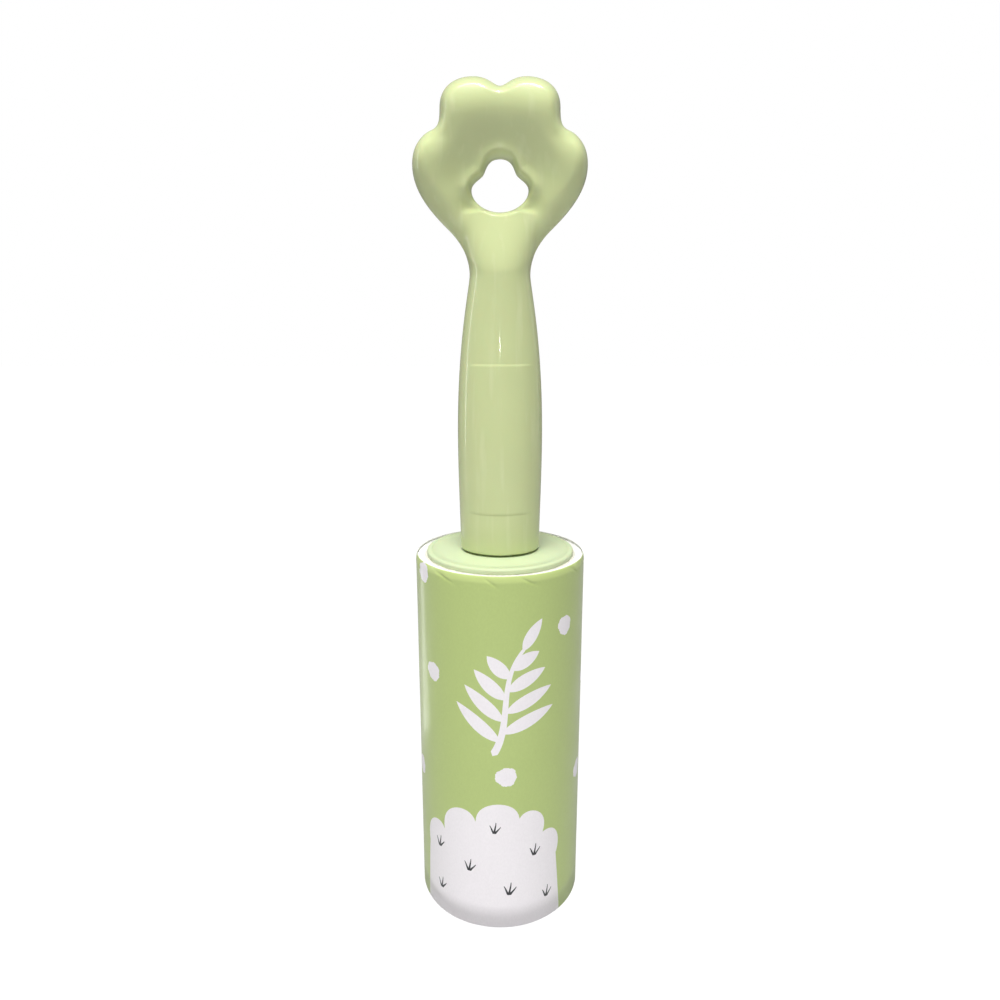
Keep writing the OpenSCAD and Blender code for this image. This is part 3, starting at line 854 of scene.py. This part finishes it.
def wrapper_radius(s, z, start):
    """Outer radius at a place on the unrolled wrapper."""
    shoulder = WRAPPER_TOP - 1.9
    over = np.clip((z - shoulder) / (WRAPPER_TOP - shoulder), 0, 1)
    radius = ROLL_R - 0.05 - 0.34 * over**2.4
    # the folded margin: shallow diagonal pleats below the edge
    margin = np.exp(-(((z - (WRAPPER_TOP - 1.6)) / 1.0) ** 2))
    phase = s * 0.52 + 0.9 * np.sin(s * 0.21) + (z - WRAPPER_TOP) * 0.9
    pleat = np.exp(-((np.mod(phase, 2 * np.pi) - np.pi) ** 2) / 0.10)
    radius = radius - 0.24 * margin * pleat + 0.03 * margin * np.sin(s * 1.7)
    # slow waves where the film isn't quite tight
    radius = radius + 0.02 * np.sin(s * 0.31 + z * 0.05) + 0.015 * np.sin(z * 0.17 + s * 0.11)
    # the outer end lies over the start of the wrapper
    lap = smooth((s - start - 2 * math.pi * ROLL_R + 4) / 4)
    return radius + lap * (FILM + 0.04)


def grid_lines(start, end):
    """Corner points and edges of the grid that the wrapper's surface is cut along."""
    points, edges = [], []

    def line(a, b):
        points.extend([a, b])
        edges.append((len(points) - 2, len(points) - 1))

    fine_from = WRAPPER_TOP - 3.6
    columns = 144
    for k in range(columns + 1):
        s = start + (end - start) * k / columns
        line((s, 0), (s, WRAPPER_TOP))
    for k in range(columns * 4):
        if k % 4:
            s = start + (end - start) * k / (columns * 4)
            line((s, fine_from), (s, WRAPPER_TOP))
    heights = list(np.linspace(0, fine_from, 15)) + list(np.linspace(fine_from, WRAPPER_TOP, 15)[1:])
    for z in heights:
        line((start, float(z)), (end, float(z)))
    return points, edges


def make_wrapper():
    start = math.radians(SEAM_AT - 360) * ROLL_R
    end = math.radians(SEAM_AT) * ROLL_R + LAP
    points, edges = grid_lines(start, end)
    faces = []
    white = white_motifs()
    for shape in white + black_motifs():
        first = len(points)
        xz = np.array(shape)
        area = (xz[:, 0] * np.roll(xz[:, 1], -1) - np.roll(xz[:, 0], -1) * xz[:, 1]).sum()
        if area < 0:
            shape = shape[::-1]
        points.extend((x, min(max(z, 0), WRAPPER_TOP)) for x, z in shape)
        faces.append(list(range(first, len(points))))
    vectors = [Vector((float(x), float(z))) for x, z in points]
    out, _, triangles, _, _, source = delaunay_2d_cdt(vectors, edges, faces, 0, 1e-5, True)
    flat = np.array([(v.x, v.y) for v in out])
    radius = wrapper_radius(flat[:, 0], flat[:, 1], start)
    angle = flat[:, 0] / ROLL_R
    co = np.column_stack([radius * np.sin(angle), -radius * np.cos(angle), flat[:, 1]])
    mesh = bpy.data.meshes.new("wrapper_print")
    mesh.from_pydata((co * MM).tolist(), [], [tuple(t) for t in triangles])
    mesh.update()
    for polygon, inside in zip(mesh.polygons, source):
        polygon.material_index = (1 if max(inside) < len(white) else 2) if inside else 0
    mesh.shade_smooth()
    mesh.materials.append(print_material("wrapper_green_ink", WRAPPER_GREEN, FOLD_PAINTED_LIGHT))
    mesh.materials.append(print_material("wrapper_white_ink", PRINT_WHITE))
    mesh.materials.append(print_material("wrapper_black_ink", PRINT_BLACK))
    mesh.materials.append(paper_material("wrapper_paper_side", PAPER_WHITE))
    obj = bpy.data.objects.new("wrapper_print", mesh)
    scene.collection.objects.link(obj)
    wall = add_solidify(obj, FILM)
    wall.material_offset_rim = 3
    wall.material_offset = 3
    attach(obj, "refill")
    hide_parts("printed_wrapper")


# ---------------------------------------------------------------- turned pieces


def lathe(name, profile, material, node, body, wobble=None):
    """A closed profile of (radius, height) points turned about Z."""
    steps = 256
    mesh = bpy.data.meshes.new(name)
    co, faces = [], []
    count = len(profile)
    for k in range(steps):
        a = 2 * math.pi * k / steps
        for i, (r, z) in enumerate(profile):
            if wobble:
                r, z = wobble(r, z, a)
            co.append((r * math.sin(a) * MM, -r * math.cos(a) * MM, z * MM))
            j = (i + 1) % count
            n = (k + 1) % steps
            faces.append((k * count + i, k * count + j, n * count + j, n * count + i))
    mesh.from_pydata(co, [], faces)
    finish_mesh(mesh)
    mesh.materials.append(material)
    obj = bpy.data.objects.new(name, mesh)
    scene.collection.objects.link(obj)
    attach(obj, body)
    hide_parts(node)


def arc(centre, radius, from_deg, to_deg, steps=5):
    """Points of a rounded corner in a profile."""
    return [
        (centre[0] + radius * math.cos(math.radians(a)), centre[1] + radius * math.sin(math.radians(a)))
        for a in np.linspace(from_deg, to_deg, steps)
    ]


def make_flange():
    """Round plate with a low rolled rim, a soft step inside it and a slight dish towards the handle."""
    low, high = box_mm("drum_flange")
    top, under, hub_foot = high.z, high.z - 1.4, low.z
    r = high.x
    bore, hub = 6.05, 9.0
    profile = [(bore, hub_foot + 0.3), (bore + 0.3, hub_foot), (hub, hub_foot), (hub, under)]
    profile += [(12.46, under), (12.46, under - 4), (13.96, under - 4), (13.96, under)]
    profile += arc((r - 0.2, under + 0.2), 0.2, -90, 0) + arc((r - 0.55, top - 0.55), 0.55, 0, 90, 7)
    profile += [(r - 1.1, top)] + arc((r - 1.25, top - 0.1), 0.1, 90, 160, 3)
    profile += [(r - 1.55, top - 0.2), (r - 4, top - 0.22), (r - 8, top - 0.2), (hub, top - 0.16)]
    profile += [(bore + 0.25, top - 0.1), (bore, top - 0.3)]
    lathe("flange_disc", profile, flange_material(), "drum_flange", "drum")


def make_sheets():
    """The wound sheets: each end shows the layers as fine ridges of slightly uneven height."""
    low, high = box_mm("sheet_roll")
    inner, outer, top = 20.22, high.x - 0.06, high.z
    layers = 24
    end = []
    for k in range(layers):
        r0 = inner + (outer - inner) * k / layers
        r1 = inner + (outer - inner) * (k + 1) / layers
        rise = 0.05 * math.sin(k * 2.4) + 0.03 * math.sin(k * 5.1)
        end += [(r0 + 0.012, -0.06), (r0 + 0.03, rise), (r1 - 0.02, rise)]
    profile = [(r, -min(z, 0)) for r, z in end]
    profile += [(r - (0.11 if r > outer - 0.2 else 0), top + min(z, 0.0)) for r, z in reversed(end)]

    def wobble(r, z, a):
        """Sinks the upper end in a slow wave, more towards the outside."""
        wave = 0.05 * math.sin(2 * a + 0.7) * (r - inner) / 2.4
        return r, z - abs(wave) if z > 50 else z

    lathe("wound_sheets", profile, layered_paper(), "sheet_roll", "refill", wobble)


EDGE_SOFT = 0.15  # width of the softened edges on the CAD solids that are kept

make_studio()
make_camera()
make_handle()
make_shell_screws()
make_wrapper()
make_flange()
make_sheets()

for node, material in {
    "end_cap": flange_material(),
    "drum_cage": moulded_plastic("cage_pp", CAGE_WHITE, 0.42).material,
    "drum_hub": moulded_plastic("hub_pp", CAGE_WHITE, 0.42).material,
    "spindle": moulded_plastic("spindle_acetal", SPINDLE_WHITE, 0.35).material,
    "thrust_washer": moulded_plastic("washer_nylon", WASHER_WHITE, 0.4).material,
    "retaining_washer": steel_material(),
    "retaining_screw": steel_material(),
    "core_tube": card_material(),
}.items():
    nodes[node].data.materials.clear()
    nodes[node].data.materials.append(material)
    soft = nodes[node].modifiers.new("soft_edges", "BEVEL")
    soft.width = EDGE_SOFT * MM
    soft.segments = 2
    soft.limit_method = "ANGLE"
    soft.angle_limit = SHARP
    soft.harden_normals = True
